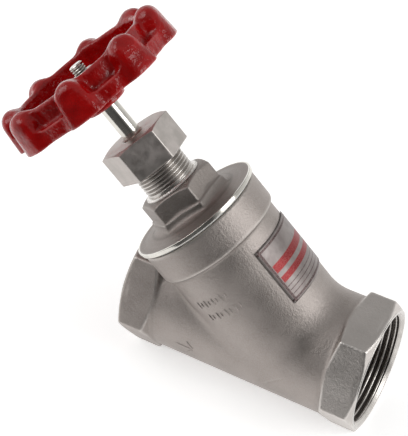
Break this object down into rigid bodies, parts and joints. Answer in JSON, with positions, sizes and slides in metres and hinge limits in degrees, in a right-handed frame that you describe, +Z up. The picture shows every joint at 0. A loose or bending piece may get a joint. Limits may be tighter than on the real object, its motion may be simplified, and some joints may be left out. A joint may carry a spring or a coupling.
{
  "type": "globe valve",
  "caption": "Y-pattern globe valve with female threaded pipe ends, a screwed bonnet leaning over the outlet and a lobed red handwheel on a rising stem.",
  "frame": {"origin": "where the axis of the pipe run and the axis of the bonnet cross", "axes": "+X along the pipe run out of the inlet, +Z up; the bonnet axis points to -X and +Z at 45 degrees"},
  "size_m": [0.16, 0.0758, 0.151],
  "materials": {
    "cast_steel": "fine bead-blasted cast stainless steel",
    "bright_steel": "turned and polished stainless steel",
    "white_plastic": "white PTFE",
    "red_paint": "glossy dipped paint",
    "foil": "printed metal foil"
  },
  "bodies": {
    "body": {"valve_body": "cast_steel", "bonnet": "cast_steel", "bonnet_gasket": "white_plastic", "packing_nut": "cast_steel", "packing_washer": "bright_steel", "packing_ring_1": "white_plastic", "packing_ring_2": "white_plastic", "packing_ring_3": "white_plastic", "packing_ring_4": "white_plastic", "gland_follower": "bright_steel", "name_plate": "foil"},
    "disc": {"disc": "bright_steel", "disc_seal": "white_plastic", "seal_washer": "bright_steel", "seal_nut": "bright_steel", "swivel_nut": "bright_steel"},
    "stem": {"stem": "bright_steel", "handwheel": "red_paint", "wheel_washer": "bright_steel", "wheel_nut": "bright_steel"}
  },
  "joints": [
    {"name": "disc_lift", "type": "slide", "parent": "body", "child": "disc", "axis": [-0.7071, 0, 0.7071], "range_m": [0, 0.0121]},
    {"name": "stem_turn", "type": "hinge", "parent": "disc", "child": "stem", "pos_m": [0, 0, 0], "axis": [-0.7071, 0, 0.7071], "range_deg": [0, 1440]}
  ],
  "couplings": [
    {"joint": "disc_lift", "follows": "stem_turn", "m_per_rad": 0.00047746}
  ]
}
